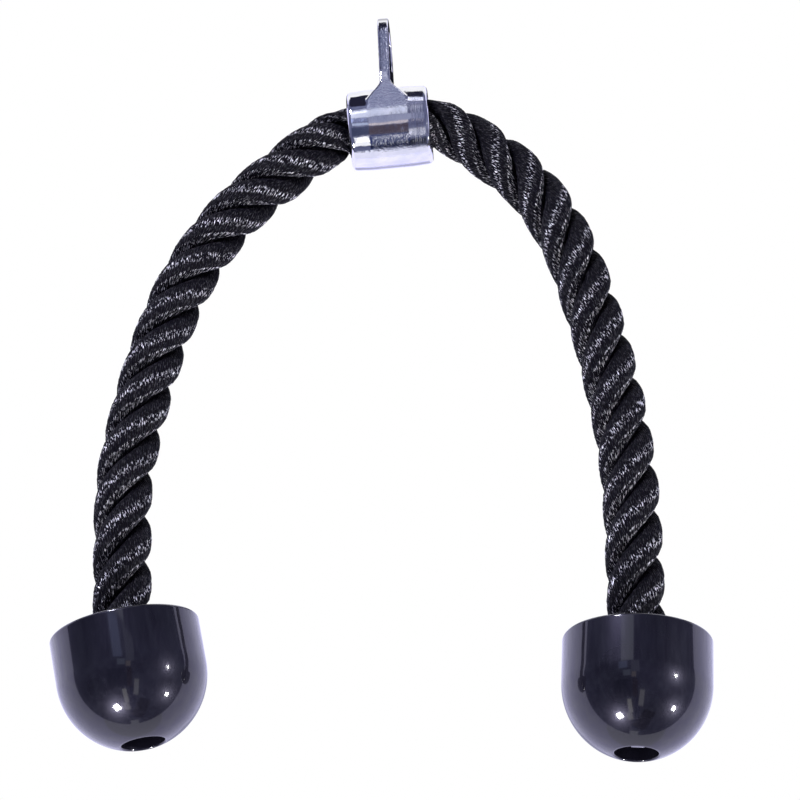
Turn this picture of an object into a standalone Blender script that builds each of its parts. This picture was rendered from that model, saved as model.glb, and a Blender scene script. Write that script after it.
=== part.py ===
"""Triceps rope attachment: a chromed eye collar on a three-strand laid rope, with a moulded cap on each end.

Metres, +Z up. The origin is the centre of the eye's hole, and the rope hangs below it in the XZ plane.
Distances along the rope are measured from the middle of the collar, negative towards the left cap.
"""

import math

import bmesh
import bpy
import numpy as np
from mathutils import Matrix, Vector

MM = 0.001

# Clearances
SEAT_GAP = 0.3 * MM
CUT_OVERRUN = 2 * MM

# Eye: a flat ring that takes the machine's carabiner, seen edge-on from the front
EYE_DIAMETER = 38 * MM
EYE_HOLE_DIAMETER = 22 * MM
EYE_THICKNESS = 6 * MM
EYE_EDGE_RADIUS = 1.4 * MM
NECK_LENGTH = 9.3 * MM
PLATE_FLANK_SHARE = 0.7
FLARE_DROP = 13.2 * MM
FLARE_RADIUS = 5 * MM
FLARE_SLOPE = math.radians(38)
HANG_TILT = math.radians(3.8)

# Collar: a band with a slight taper on either side of it, and rounded ends
COLLAR_LENGTH = 45 * MM
BAND_LENGTH = 22 * MM
BAND_WALL = 6.9 * MM
COLLAR_END_WALL = 6.4 * MM
COLLAR_EDGE_RADIUS = 2.6 * MM
BORE_MOUTH_RADIUS = 1.2 * MM

# Rope: three strands laid right-handed
ROPE_DIAMETER = 30 * MM
STRAND_COUNT = 3
LAY_LENGTH = 79 * MM
LAY_START = math.radians(34)
BEND_LENGTH = 40 * MM
BEND_SQUEEZE_SHARE = 0.6

# Caps, measured down from the rim that the rope enters
CAP_DIAMETER = 76.5 * MM
CAP_HEIGHT = 61 * MM
CAP_STRAIGHT = 24 * MM
CAP_RIM_RADIUS = 1.6 * MM
CAP_HOLE_DIAMETER = 22 * MM
CAP_HOLE_EDGE = 0.6 * MM
CAP_MOUTH_RADIUS = 1.5 * MM
CAP_NECK = 20 * MM
CAP_FLOOR = 9 * MM

# Crimped ferrule on each rope end, inside the cap, and the rope's tail below it
FERRULE_WALL = 2.2 * MM
ROPE_TAIL = 7.7 * MM
FERRULE_EDGE = 0.6 * MM
CRIMP_COUNT = 2
CRIMP_WIDTH = 4 * MM
CRIMP_DEPTH = 0.9 * MM

# Where each leg of the rope runs between the collar and the cap's rim, as x and z from the eye
LEFT_ROUTE = [
    (-31.0 * MM, -58.0 * MM),
    (-51.5 * MM, -75.5 * MM),
    (-71.0 * MM, -94.0 * MM),
    (-88.0 * MM, -114.5 * MM),
    (-102.0 * MM, -138.0 * MM),
    (-112.5 * MM, -162.5 * MM),
    (-120.5 * MM, -188.5 * MM),
    (-127.0 * MM, -216.0 * MM),
    (-132.0 * MM, -243.0 * MM),
    (-135.0 * MM, -271.5 * MM),
    (-134.5 * MM, -300.0 * MM),
    (-133.5 * MM, -326.0 * MM),
    (-131.5 * MM, -350.5 * MM),
]
RIGHT_ROUTE = [
    (37.5 * MM, -51.5 * MM),
    (60.0 * MM, -68.0 * MM),
    (79.5 * MM, -87.0 * MM),
    (93.5 * MM, -109.5 * MM),
    (103.5 * MM, -133.5 * MM),
    (110.5 * MM, -158.5 * MM),
    (117.0 * MM, -186.0 * MM),
    (122.5 * MM, -215.5 * MM),
    (127.0 * MM, -247.0 * MM),
    (129.0 * MM, -277.0 * MM),
    (129.5 * MM, -305.5 * MM),
    (129.5 * MM, -331.0 * MM),
    (129.5 * MM, -355.5 * MM),
]
LEFT_CAP_LEAN = math.radians(11.3)
RIGHT_CAP_LEAN = math.radians(-2.7)

# Fineness
ROUTE_STEP = 1 * MM
BEND_REACH = 12 * MM
STRAND_STEPS_PER_TURN = 10
STRAND_ROUND_STEPS = 2
SQUARE_END = 1 * MM
TURNED_STEPS = 36
HOLE_STEPS = 24
RING_STEPS = 12
FLARE_STEPS = 5
DOME_STEPS = 9
EDGE_STEPS = 2
SHARP_ANGLE = math.radians(35)
ON_AXIS = 0.01 * MM
SAME_POINT = 0.001 * MM
PASS_SAMPLES = 361

# Sizes that follow
ROPE_RADIUS = ROPE_DIAMETER / 2
BORE_RADIUS = ROPE_RADIUS + SEAT_GAP
BAND_RADIUS = BORE_RADIUS + BAND_WALL
COLLAR_END_RADIUS = BORE_RADIUS + COLLAR_END_WALL
EYE_RADIUS = EYE_DIAMETER / 2
EYE_TO_BORE = EYE_RADIUS + NECK_LENGTH + BAND_RADIUS
FERRULE_RADIUS = BORE_RADIUS + FERRULE_WALL
FERRULE_LENGTH = CAP_HEIGHT - CAP_FLOOR - CAP_NECK - SEAT_GAP - ROPE_TAIL
CHAMBER_RADIUS = FERRULE_RADIUS + SEAT_GAP
CAP_RADIUS = CAP_DIAMETER / 2
CAP_HOLE_RADIUS = CAP_HOLE_DIAMETER / 2

DOWN = Vector((0, 0, -1))
TOWARDS_VIEWER = Vector((0, -1, 0))


def start_scene():
    for old in list(bpy.data.objects):
        bpy.data.objects.remove(old, do_unlink=True)
    collections = []
    for name in ("triceps_rope_attachment", "cutters"):
        collection = bpy.data.collections.new(name)
        bpy.context.scene.collection.children.link(collection)
        collections.append(collection)
    return collections


def material(name, colour, roughness, metallic=0.0):
    made = bpy.data.materials.new(name)
    made.use_nodes = True
    shader = made.node_tree.nodes["Principled BSDF"]
    shader.inputs["Base Color"].default_value = (*colour, 1)
    shader.inputs["Roughness"].default_value = roughness
    shader.inputs["Metallic"].default_value = metallic
    return made


def attach(made, collection, parent, world):
    """Links the object, hangs it from its parent and puts it at a world matrix."""
    collection.objects.link(made)
    made.parent = parent
    bpy.context.view_layer.update()
    above = parent.matrix_world if parent else Matrix()
    made.matrix_basis = above.inverted() @ world
    bpy.context.view_layer.update()
    return made


def axis_empty(name, parent, world):
    return attach(bpy.data.objects.new(name, None), parts, parent, world)


def smooth(mesh):
    mesh.shade_smooth()
    mesh.set_sharp_from_angle(angle=SHARP_ANGLE)


def arc(centre, radius, first, last, steps):
    """Points on an arc in a plane, from one angle to another."""
    angles = [first + (last - first) * k / steps for k in range(steps + 1)]
    return [(centre[0] + radius * math.cos(t), centre[1] + radius * math.sin(t)) for t in angles]


def turned(name, profile, closed):
    """An object turned about its Z axis from (radius, height) points that run down the outer side."""
    mesh = bpy.data.meshes.new(name)
    shape = bmesh.new()
    corners = [shape.verts.new((radius, 0, height)) for radius, height in profile]
    pairs = list(zip(corners, corners[1:]))
    if closed:
        pairs.append((corners[-1], corners[0]))
    for pair in pairs:
        shape.edges.new(pair)
    shape.to_mesh(mesh)
    shape.free()
    made = bpy.data.objects.new(name, mesh)
    screw = made.modifiers.new("turn", "SCREW")
    screw.axis = "Z"
    screw.steps = TURNED_STEPS
    screw.render_steps = TURNED_STEPS
    screw.use_merge_vertices = True
    screw.merge_threshold = ON_AXIS
    screw.use_smooth_shade = True
    return made


def flat_plate(name, outlines, thickness, edge_radius):
    """A mesh object of a flat outline with rounded edges, in its own XY plane and centred on it."""
    curve = bpy.data.curves.new(name, "CURVE")
    curve.dimensions = "2D"
    curve.fill_mode = "BOTH"
    curve.extrude = thickness / 2 - edge_radius
    curve.bevel_depth = edge_radius
    curve.bevel_resolution = 1
    for outline in outlines:
        spline = curve.splines.new("POLY")
        spline.points.add(len(outline) - 1)
        for point, (x, y) in zip(spline.points, outline):
            point.co = (x, y, 0, 1)
        spline.use_cyclic_u = True
    drawn = bpy.data.objects.new(name, curve)
    bpy.context.scene.collection.objects.link(drawn)
    graph = bpy.context.evaluated_depsgraph_get()
    mesh = bpy.data.meshes.new_from_object(drawn.evaluated_get(graph))
    bpy.data.objects.remove(drawn, do_unlink=True)
    shape = bmesh.new()
    shape.from_mesh(mesh)
    bmesh.ops.remove_doubles(shape, verts=shape.verts, dist=SAME_POINT)
    bmesh.ops.recalc_face_normals(shape, faces=shape.faces)
    shape.to_mesh(mesh)
    shape.free()
    return bpy.data.objects.new(name, mesh)


def cut_shape(made, parent, world):
    """Keeps a shape that another piece is joined with or cut by out of the model."""
    attach(made, cutters, parent, world)
    made.hide_render = True
    made.display_type = "WIRE"
    return made


def combine(made, other, operation):
    modifier = made.modifiers.new(operation.lower(), "BOOLEAN")
    modifier.operation = operation
    modifier.solver = "EXACT"
    modifier.object = other


def neck_outline(inset, flank_share):
    """Half of the eye's outline: round the ring, then down a straight flank to the collar's band.

    The flank touches both circles, so the radius grows evenly along it from the ring's to the band's.
    The outline follows the given share of the flank, and then runs in to the middle line.
    """
    ring = EYE_RADIUS - inset
    growth = BAND_RADIUS - EYE_RADIUS
    lean = math.asin(growth / EYE_TO_BORE)
    outline = arc((0, 0), ring, math.pi / 2, lean, RING_STEPS)
    across = ring + growth * flank_share
    drop = EYE_TO_BORE * flank_share
    outline.append((across * math.cos(lean), across * math.sin(lean) - drop))
    foot = -EYE_TO_BORE if flank_share == 1 else outline[-1][1]
    return outline + [(0, foot)]


def both_sides(half):
    """A closed outline from its right half, whose ends lie on the middle line."""
    return half + [(-x, y) for x, y in reversed(half) if abs(x) > SAME_POINT]


def flare_outline():
    """Half of the neck seen from the front: the plate's thickness, swelling to the band's length."""
    half_plate = EYE_THICKNESS / 2 - SEAT_GAP
    half_band = BAND_LENGTH / 2
    top = -EYE_RADIUS - FLARE_DROP
    outline = [(0, top + EYE_EDGE_RADIUS), (half_plate, top + EYE_EDGE_RADIUS)]
    outline += arc((half_plate + FLARE_RADIUS, top), FLARE_RADIUS, math.pi, math.pi + FLARE_SLOPE, FLARE_STEPS)
    run = (half_band - outline[-1][0]) / math.tan(FLARE_SLOPE)
    outline += [(half_band, outline[-1][1] - run), (half_band, -EYE_TO_BORE), (0, -EYE_TO_BORE)]
    return outline


def collar_profile():
    """The collar's barrel as a solid, before its bore: rounded end, taper, band, taper, rounded end."""
    half = COLLAR_LENGTH / 2
    lip = COLLAR_EDGE_RADIUS
    upper = [(0, half)] + arc((COLLAR_END_RADIUS - lip, half - lip), lip, math.pi / 2, 0, EDGE_STEPS)
    upper.append((BAND_RADIUS, BAND_LENGTH / 2))
    return upper + [(radius, -height) for radius, height in reversed(upper)]


def bore_profile():
    """The rope's bore as a cutter, widening into each mouth."""
    half = COLLAR_LENGTH / 2
    lip = BORE_MOUTH_RADIUS
    mouth = BORE_RADIUS + lip
    upper = [(0, half + CUT_OVERRUN), (mouth, half + CUT_OVERRUN)]
    upper += arc((mouth, half - lip), lip, math.pi / 2, math.pi, EDGE_STEPS)
    return upper + [(radius, -height) for radius, height in reversed(upper)]


def make_eye_collar(parent, steel):
    """The ring, its flared neck and the collar are one forging."""
    stand = Matrix.Rotation(math.pi / 2, 4, "Z") @ Matrix.Rotation(math.pi / 2, 4, "X")
    face_on = Matrix.Rotation(math.pi / 2, 4, "X")
    hole_radius = EYE_HOLE_DIAMETER / 2 + EYE_EDGE_RADIUS
    hole = ring_points(hole_radius, HOLE_STEPS)
    outline = both_sides(neck_outline(EYE_EDGE_RADIUS, PLATE_FLANK_SHARE))
    made = flat_plate("eye_collar", [outline, hole], EYE_THICKNESS, EYE_EDGE_RADIUS)
    made.data.transform(stand)
    made.data.materials.append(steel)
    attach(made, parts, parent, parent.matrix_world)

    frame = parent.matrix_world
    side = flat_plate("neck_side", [both_sides(neck_outline(0, 1))], BAND_LENGTH + CUT_OVERRUN, 0)
    side.data.transform(stand)
    cut_shape(side, parent, frame)
    flare = flat_plate("neck_flare", [both_sides(flare_outline())], 2 * BAND_RADIUS + CUT_OVERRUN, 0)
    flare.data.transform(face_on)
    cut_shape(flare, parent, frame)
    combine(flare, side, "INTERSECT")

    on_bore = frame @ Matrix.Translation(DOWN * EYE_TO_BORE) @ Matrix.Rotation(math.pi / 2, 4, "Y")
    barrel = cut_shape(turned("collar_barrel", collar_profile(), closed=False), parent, on_bore)
    bore = cut_shape(turned("collar_bore", bore_profile(), closed=False), parent, on_bore)
    combine(made, flare, "UNION")
    combine(made, barrel, "UNION")
    combine(made, bore, "DIFFERENCE")
    smooth(made.data)
    return made


def ring_points(radius, count):
    return [
        (radius * math.cos(2 * math.pi * k / count), radius * math.sin(2 * math.pi * k / count))
        for k in range(count)
    ]


class RopeLine:
    """One leg's centre line from the collar's middle into the cap, read by the distance along it."""

    def __init__(self, side, route, lean):
        along_bore = Vector((math.cos(HANG_TILT), 0, math.sin(HANG_TILT))) * side
        middle = Matrix.Rotation(-HANG_TILT, 4, "Y") @ (DOWN * EYE_TO_BORE)
        mouth = middle + along_bore * COLLAR_LENGTH / 2
        rim = Vector((route[-1][0], 0, route[-1][1]))
        into_cap = Vector((math.sin(lean), 0, -math.cos(lean)))
        knots = [mouth] + [Vector((x, 0, z)) for x, z in route]
        bend = clamped_spline(knots, along_bore, into_cap)
        far = rim + into_cap * CAP_HEIGHT
        self.points = np.array([middle, *bend, far])
        steps = np.linalg.norm(np.diff(self.points, axis=0), axis=1)
        self.reach = np.concatenate([[0], np.cumsum(steps)])
        self.side = side
        self.rim = rim
        self.into_cap = into_cap
        self.rim_distance = self.reach[-2]

    def bend(self, distance):
        """How sharply the rope bends there, as one over the bend's radius."""
        before, after = (self.at(distance + step)[1] for step in (-BEND_REACH, BEND_REACH))
        return before.angle(after) / (2 * BEND_REACH)

    def at(self, distance):
        """The centre, the tangent towards +X along the whole rope, and the outward normal."""
        inner = min(max(distance, ROUTE_STEP), self.reach[-1] - ROUTE_STEP)
        place, before, after = (
            Vector([np.interp(d, self.reach, self.points[:, k]) for k in range(3)])
            for d in (distance, inner - ROUTE_STEP, inner + ROUTE_STEP)
        )
        tangent = (after - before).normalized() * self.side
        return place, tangent, TOWARDS_VIEWER.cross(tangent)


def clamped_spline(knots, first_way, last_way):
    """Close points on the cubic curve through the knots whose curvature is continuous and whose ends run as given."""
    spans = [(b - a).length for a, b in zip(knots, knots[1:])]
    size = len(knots)
    weights = np.zeros((size, size))
    wanted = np.zeros((size, 3))
    weights[0, 0] = weights[-1, -1] = 1
    wanted[0], wanted[-1] = first_way, last_way
    for k in range(1, size - 1):
        before, after = spans[k - 1], spans[k]
        weights[k, k - 1 : k + 2] = after, 2 * (before + after), before
        slope_in = (knots[k] - knots[k - 1]) / before
        slope_out = (knots[k + 1] - knots[k]) / after
        wanted[k] = 3 * (slope_in * after + slope_out * before)
    slopes = np.linalg.solve(weights, wanted)
    points = []
    for k, span in enumerate(spans):
        start, end = np.array(knots[k]), np.array(knots[k + 1])
        count = math.ceil(span / ROUTE_STEP)
        for step in range(count):
            t = step / count
            points.append(
                (2 * t**3 - 3 * t**2 + 1) * start
                + (t**3 - 2 * t**2 + t) * span * slopes[k]
                + (3 * t**2 - 2 * t**3) * end
                + (t**3 - t**2) * span * slopes[k + 1]
            )
    return points + [np.array(knots[-1])]


def closest_pass(helix_radius):
    """The least distance between the centre lines of two neighbouring strands, as the tube's steps cut them."""
    apart = 2 * math.pi / STRAND_COUNT
    turn = np.linspace(-math.pi / 2, math.pi / 2, PASS_SAMPLES)
    across = 2 * helix_radius * np.sin((apart + turn) / 2)
    least = np.hypot(across, LAY_LENGTH * turn / (2 * math.pi)).min()
    return float(least) * math.cos(math.pi / STRAND_STEPS_PER_TURN)


def strand_sizes():
    """The helix radius and the strand radius that fill the rope's diameter and leave SEAT_GAP between strands."""
    low, high = 0, ROPE_RADIUS
    while high - low > SAME_POINT:
        helix_radius = (low + high) / 2
        if closest_pass(helix_radius) < 2 * (ROPE_RADIUS - helix_radius) + SEAT_GAP:
            low = helix_radius
        else:
            high = helix_radius
    return high, ROPE_RADIUS - high


class Rope:
    """The whole rope: its legs' centre lines, and the strands laid round them."""

    def __init__(self):
        self.left = RopeLine(-1, LEFT_ROUTE, LEFT_CAP_LEAN)
        self.right = RopeLine(1, RIGHT_ROUTE, RIGHT_CAP_LEAN)

    def leg(self, distance):
        return self.left if distance < 0 else self.right

    def strand_point(self, distance, number):
        """A point on one strand's centre line."""
        centre, _, outward = self.leg(distance).at(abs(distance))
        turn = LAY_START + 2 * math.pi * (distance / LAY_LENGTH + number / STRAND_COUNT)
        return centre + HELIX_RADIUS * (math.cos(turn) * outward + math.sin(turn) * TOWARDS_VIEWER)

    def squeeze(self, distance):
        """The share of its thickness that a strand keeps, because a bend presses the strands on its inner side."""
        return 1 - BEND_SQUEEZE_SHARE * HELIX_RADIUS * self.leg(distance).bend(abs(distance))

    def square_end(self, distance, number, inward):
        """The last two points of a strand that is cut square, half a gap short of the cut, outermost first."""
        cut = self.strand_point(distance, number)
        along = self.strand_point(distance + inward * ROUTE_STEP, number) - cut
        along += cut - self.strand_point(distance - inward * ROUTE_STEP, number)
        along.normalize()
        return cut + along * SEAT_GAP / 2, cut + along * (SEAT_GAP / 2 + SQUARE_END)


def make_strand(name, rope, first, last, number, parent, yarn):
    """One strand between two distances along the rope, as a tube on a helix round its centre line."""
    step = LAY_LENGTH / STRAND_STEPS_PER_TURN
    numbers = range(math.ceil(first / step), math.floor(last / step) + 1)
    between = [k * step for k in numbers if first + step / 2 < k * step < last - step / 2]
    points = [
        *rope.square_end(first, number, 1),
        *[rope.strand_point(distance, number) for distance in between],
        *reversed(rope.square_end(last, number, -1)),
    ]
    distances = [first, first, *between, last, last]
    curve = bpy.data.curves.new(name, "CURVE")
    curve.dimensions = "3D"
    curve.bevel_depth = STRAND_RADIUS
    curve.bevel_resolution = STRAND_ROUND_STEPS
    curve.use_fill_caps = True
    curve.materials.append(yarn)
    spline = curve.splines.new("POLY")
    spline.points.add(len(points) - 1)
    to_parent = parent.matrix_world.inverted()
    for slot, point, distance in zip(spline.points, points, distances):
        slot.co = (*(to_parent @ point), 1)
        slot.radius = rope.squeeze(distance)
    return attach(bpy.data.objects.new(name, curve), parts, parent, parent.matrix_world)


def cap_profile():
    """Down the outside of the cap, round its dome, then up through the hole, the chamber and the neck."""
    drop = CAP_HEIGHT - CAP_STRAIGHT
    dome = drop / math.sqrt(1 - (CAP_HOLE_RADIUS / CAP_RADIUS) ** 2)
    last = math.acos((CAP_HOLE_RADIUS + CAP_HOLE_EDGE) / CAP_RADIUS)
    rim = CAP_RIM_RADIUS
    mouth = CAP_MOUTH_RADIUS
    profile = arc((CAP_RADIUS - rim, -rim), rim, math.pi / 2, 0, EDGE_STEPS)
    profile += [
        (CAP_RADIUS * math.cos(-angle), -CAP_STRAIGHT + dome * math.sin(-angle))
        for angle in np.linspace(0, last, DOME_STEPS).tolist()
    ]
    profile += [
        (CAP_HOLE_RADIUS, profile[-1][1] + CAP_HOLE_EDGE / 2),
        (CAP_HOLE_RADIUS, -CAP_HEIGHT + CAP_FLOOR),
        (CHAMBER_RADIUS, -CAP_HEIGHT + CAP_FLOOR),
        (CHAMBER_RADIUS, -CAP_NECK),
        (BORE_RADIUS, -CAP_NECK),
    ]
    return profile + arc((BORE_RADIUS + mouth, -mouth), mouth, math.pi, math.pi / 2, EDGE_STEPS)


def ferrule_profile():
    """A sleeve with its edges broken and a ring pressed in at each crimp."""
    edge = FERRULE_EDGE
    pitch = FERRULE_LENGTH / (CRIMP_COUNT + 1)
    profile = [(FERRULE_RADIUS - edge, 0), (FERRULE_RADIUS, -edge)]
    for number in range(CRIMP_COUNT):
        middle = -pitch * (number + 1)
        profile += [
            (FERRULE_RADIUS, middle + CRIMP_WIDTH / 2),
            (FERRULE_RADIUS - CRIMP_DEPTH, middle + CRIMP_WIDTH / 4),
            (FERRULE_RADIUS - CRIMP_DEPTH, middle - CRIMP_WIDTH / 4),
            (FERRULE_RADIUS, middle - CRIMP_WIDTH / 2),
        ]
    profile += [(FERRULE_RADIUS, edge - FERRULE_LENGTH), (FERRULE_RADIUS - edge, -FERRULE_LENGTH)]
    return profile + [(BORE_RADIUS, -FERRULE_LENGTH), (BORE_RADIUS, 0)]


def make_turned_part(name, profile, parent, world, finish):
    made = turned(name, profile, closed=True)
    made.data.materials.append(finish)
    return attach(made, parts, parent, world)


def make_leg(side_name, rope, line, frame, finishes):
    """The rope's bending length below the collar, the rest of the leg, and the cap on its end."""
    pivot = COLLAR_LENGTH / 2 + BEND_LENGTH
    slant = math.atan2(2 * math.pi * HELIX_RADIUS, LAY_LENGTH)
    end = line.rim_distance + CAP_HEIGHT - CAP_FLOOR - STRAND_RADIUS * math.sin(slant)
    bore_axis = frame.matrix_world @ Matrix.Translation(DOWN * EYE_TO_BORE)
    swing = axis_empty(side_name + "_swing_axis", frame, bore_axis)
    spread = axis_empty(side_name + "_spread_axis", swing, Matrix.Translation(line.at(pivot)[0]))
    for stretch, near, far, parent in (
        ("upper", COLLAR_LENGTH / 2, pivot, swing),
        ("lower", pivot, end, spread),
    ):
        first, last = sorted((line.side * near, line.side * far))
        for number in range(STRAND_COUNT):
            name = f"{side_name}_{stretch}_strand_{number + 1}"
            make_strand(name, rope, first, last, number, parent, finishes["yarn"])
    lean = math.atan2(line.into_cap.x, -line.into_cap.z)
    on_rim = Matrix.Translation(line.rim) @ Matrix.Rotation(-lean, 4, "Y")
    make_turned_part(side_name + "_end_cap", cap_profile(), spread, on_rim, finishes["cap"])
    below_neck = on_rim @ Matrix.Translation(DOWN * (CAP_NECK + SEAT_GAP))
    make_turned_part(side_name + "_ferrule", ferrule_profile(), spread, below_neck, finishes["ferrule"])


def print_strand_gap(rope):
    """Prints the least gap between neighbouring strands, measured on points along their centre lines."""
    distances = np.arange(-rope.left.rim_distance, rope.right.rim_distance, ROUTE_STEP).tolist()
    strands = [
        np.array([rope.strand_point(distance, number) for distance in distances])
        for number in range(STRAND_COUNT)
    ]
    window = round(LAY_LENGTH / STRAND_COUNT / ROUTE_STEP)
    least = min(
        np.linalg.norm(first[max(0, k - window) : k + window] - second[k], axis=1).min()
        - 2 * STRAND_RADIUS * rope.squeeze(distances[k])
        for first, second in zip(strands, strands[1:] + strands[:1])
        for k in range(len(distances))
    )
    print(f"{STRAND_COUNT} strands {2 * STRAND_RADIUS / MM:.2f} mm thick, least gap {least / MM:.2f} mm")


def build():
    finishes = {
        "steel": material("chromed_steel", (0.62, 0.63, 0.68), 0.12, metallic=1.0),
        "yarn": material("black_yarn", (0.012, 0.011, 0.015), 0.55),
        "cap": material("black_cap", (0.011, 0.010, 0.014), 0.22),
        "ferrule": material("zinc_plated_steel", (0.42, 0.43, 0.45), 0.35, metallic=1.0),
    }
    rope = Rope()
    frame = axis_empty("eye_frame", None, Matrix.Rotation(-HANG_TILT, 4, "Y"))
    make_eye_collar(frame, finishes["steel"])
    for number in range(STRAND_COUNT):
        name = f"collar_strand_{number + 1}"
        make_strand(name, rope, -COLLAR_LENGTH / 2, COLLAR_LENGTH / 2, number, frame, finishes["yarn"])
    make_leg("left", rope, rope.left, frame, finishes)
    make_leg("right", rope, rope.right, frame, finishes)
    print_strand_gap(rope)


HELIX_RADIUS, STRAND_RADIUS = strand_sizes()
parts, cutters = start_scene()
build()
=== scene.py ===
import math

import bmesh
import bpy
import numpy as np
from mathutils import Matrix, Vector


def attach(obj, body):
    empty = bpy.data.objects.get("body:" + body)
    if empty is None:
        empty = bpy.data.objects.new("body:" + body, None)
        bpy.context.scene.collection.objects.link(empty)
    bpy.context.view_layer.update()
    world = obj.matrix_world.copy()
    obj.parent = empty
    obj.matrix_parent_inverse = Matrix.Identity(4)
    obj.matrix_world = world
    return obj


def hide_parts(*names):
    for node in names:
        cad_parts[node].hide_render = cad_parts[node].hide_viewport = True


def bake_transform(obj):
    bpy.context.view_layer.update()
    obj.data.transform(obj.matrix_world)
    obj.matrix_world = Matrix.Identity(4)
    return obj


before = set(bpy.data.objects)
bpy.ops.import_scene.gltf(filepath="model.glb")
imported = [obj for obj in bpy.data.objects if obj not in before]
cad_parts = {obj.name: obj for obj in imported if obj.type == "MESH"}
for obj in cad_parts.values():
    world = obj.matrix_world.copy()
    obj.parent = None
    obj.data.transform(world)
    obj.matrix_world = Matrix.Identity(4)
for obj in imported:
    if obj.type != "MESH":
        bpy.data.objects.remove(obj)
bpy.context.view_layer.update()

# Eye collar: one steel forging that the rope runs through, with a flat ring above it for the
# machine's carabiner. The scale was tumbled off, the band's front and the barrel's right end were
# ground clean, and the whole was nickelled and chromed. It hangs tilted and a little twisted.
MM = 0.001
SAME_POINT = 0.001 * MM
HANG_TILT = math.radians(3.8)
HANG_TWIST = math.radians(4.2)
RING_BEND = math.radians(1.2)
RING_RADIUS = 19 * MM
RING_HOLE_RADIUS = 11 * MM
RING_THICKNESS = 6 * MM
RING_EDGE_RADIUS = 0.7 * MM
RING_EDGE_STEPS = 4
RING_STEPS = 40
HOLE_STEPS = 96
DENT = [(21.4 * MM, -26.5 * MM), (21.3 * MM, -31.5 * MM)]
PLATE_FOOT = -38 * MM
FLARE_TOP = -31.6 * MM
FLARE_RADIUS = 5 * MM
FLARE_OVERLAP = 2 * MM
FLARE_SLOPE = math.radians(38)
BORE_DROP = 50.5 * MM
BARREL_LENGTH = 45 * MM
BARREL_END_RADIUS = 21.7 * MM
BARREL_LIP_RADIUS = 2.6 * MM
BAND_RADIUS = 22.2 * MM
BAND_LENGTH = 22 * MM
BORE_RADIUS = 15.3 * MM
BORE_MOUTH_RADIUS = 1.2 * MM
NECK_FOOT_RADIUS = 18.8 * MM
NECK_FOOT_STEPS = 30
FLARE_STEPS = 10
BARREL_STEPS = 160
BARREL_LIP_STEPS = 10
BORE_MOUTH_STEPS = 5
SHARP_CORNER = math.radians(50)
FORGING_VOXEL = 0.46 * MM
FORGING_SMOOTHING = 6


def arc(centre, radius, first, last, steps):
    """Points on an arc, from one angle to another."""
    angles = [first + (last - first) * k / steps for k in range(steps + 1)]
    return [(centre[0] + radius * math.cos(t), centre[1] + radius * math.sin(t)) for t in angles]


def open_new(name):
    """Starts a new mesh from one vertex at the origin, open in edit mode."""
    bpy.ops.object.select_all(action="DESELECT")
    bpy.ops.mesh.primitive_plane_add(size=MM)
    made = bpy.context.object
    made.name = made.data.name = name
    bpy.ops.object.mode_set(mode="EDIT")
    bpy.ops.mesh.select_mode(type="VERT")
    bpy.ops.mesh.merge(type="CENTER")
    return made


def draw(points):
    """Moves the one vertex to the first point and extrudes a line of edges through the rest."""
    bpy.ops.transform.translate(value=points[0])
    for here, there in zip(points, points[1:]):
        bpy.ops.mesh.extrude_region_move(
            TRANSFORM_OT_translate={"value": tuple(b - a for a, b in zip(here, there))}
        )


def turned_shell(name, outline, axis, steps):
    """A closed shell spun from a closed outline of points about an axis through the origin."""
    made = open_new(name)
    draw([*outline, outline[0]])
    bpy.ops.mesh.select_all(action="SELECT")
    bpy.ops.mesh.remove_doubles(threshold=SAME_POINT)
    bpy.ops.mesh.spin(steps=steps, angle=2 * math.pi, center=(0, 0, 0), axis=axis)
    bpy.ops.mesh.select_all(action="SELECT")
    bpy.ops.mesh.remove_doubles(threshold=SAME_POINT)
    bpy.ops.mesh.normals_make_consistent(inside=False)
    bpy.ops.object.mode_set(mode="OBJECT")
    return made


def flat_bar(name, outline, thickness):
    """A bar cut from a plate: the outline filled and extruded by the thickness about its plane."""
    made = open_new(name)
    draw([*outline, outline[0]])
    bpy.ops.mesh.select_all(action="SELECT")
    bpy.ops.mesh.remove_doubles(threshold=SAME_POINT)
    bpy.ops.mesh.edge_face_add()
    across = Vector(way_across(outline)) * thickness
    bpy.ops.transform.translate(value=-across / 2)
    bpy.ops.mesh.extrude_region_move(TRANSFORM_OT_translate={"value": across})
    bpy.ops.mesh.select_all(action="SELECT")
    bpy.ops.mesh.normals_make_consistent(inside=False)
    bpy.ops.object.mode_set(mode="OBJECT")
    return made


def way_across(outline):
    """The direction across a flat outline that stands in the XZ or the YZ plane."""
    return (1, 0, 0) if all(abs(point[0]) < SAME_POINT for point in outline) else (0, 1, 0)


def apply_modifier(made, kind, **settings):
    """Adds a modifier with its settings and applies it to the mesh."""
    bpy.ops.object.select_all(action="DESELECT")
    bpy.context.view_layer.objects.active = made
    made.select_set(True)
    modifier = made.modifiers.new(kind.lower(), kind)
    for key, value in settings.items():
        setattr(modifier, key, value)
    bpy.ops.object.modifier_apply(modifier=modifier.name)


def joined(name, pieces):
    """The pieces as one object, under a new name."""
    bpy.ops.object.select_all(action="DESELECT")
    for piece in pieces:
        piece.select_set(True)
    bpy.context.view_layer.objects.active = pieces[0]
    bpy.ops.object.join()
    pieces[0].name = pieces[0].data.name = name
    return pieces[0]


def place(made, matrix):
    """Puts the place into the mesh, so that the object itself stays at the origin."""
    bpy.ops.object.select_all(action="DESELECT")
    bpy.context.view_layer.objects.active = made
    made.select_set(True)
    made.matrix_world = matrix
    bpy.ops.object.transform_apply(location=True, rotation=True, scale=True)


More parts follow.
